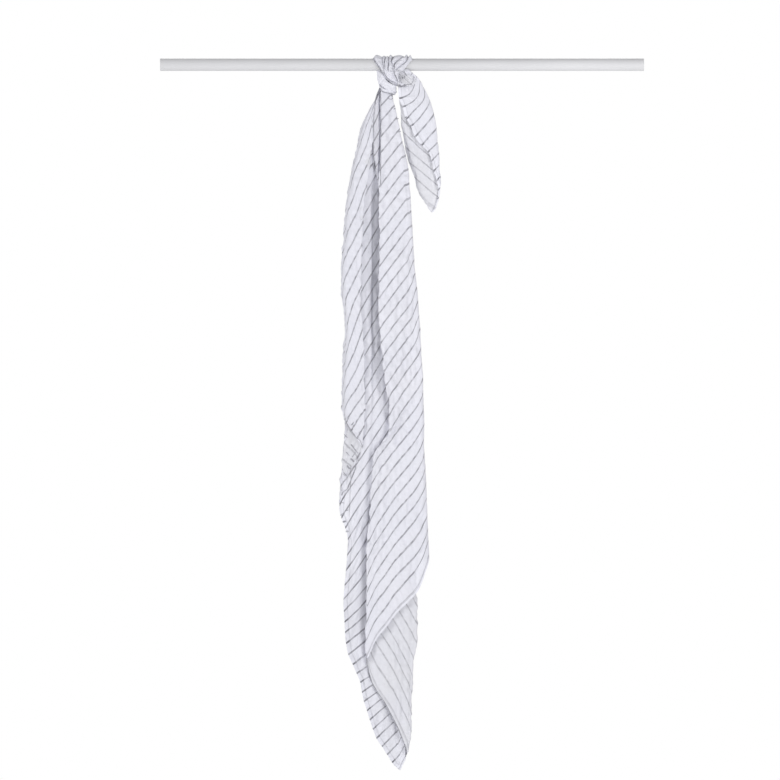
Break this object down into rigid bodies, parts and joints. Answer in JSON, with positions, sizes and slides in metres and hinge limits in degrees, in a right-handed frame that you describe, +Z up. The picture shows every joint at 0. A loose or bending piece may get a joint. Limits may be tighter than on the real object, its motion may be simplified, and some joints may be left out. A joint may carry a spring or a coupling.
{
  "type": "swaddle blanket on a rod",
  "caption": "Crinkled cotton muslin swaddle blanket with thin grey stripes, knotted by a corner round a plain round rod, from which it hangs in long folds.",
  "frame": {"origin": "centre of the rod's left end face, seen from the front", "axes": "+X along the rod to its right end, +Y away from the viewer, +Z up"},
  "size_m": [0.78, 0.0967, 1.1553],
  "materials": {
    "muslin": "thin crinkled cotton muslin, off-white with thin grey stripes",
    "rod": "smooth satin light grey"
  },
  "bodies": {
    "root": {"swaddle_blanket": "muslin", "rod": "rod"}
  },
  "joints": []
}
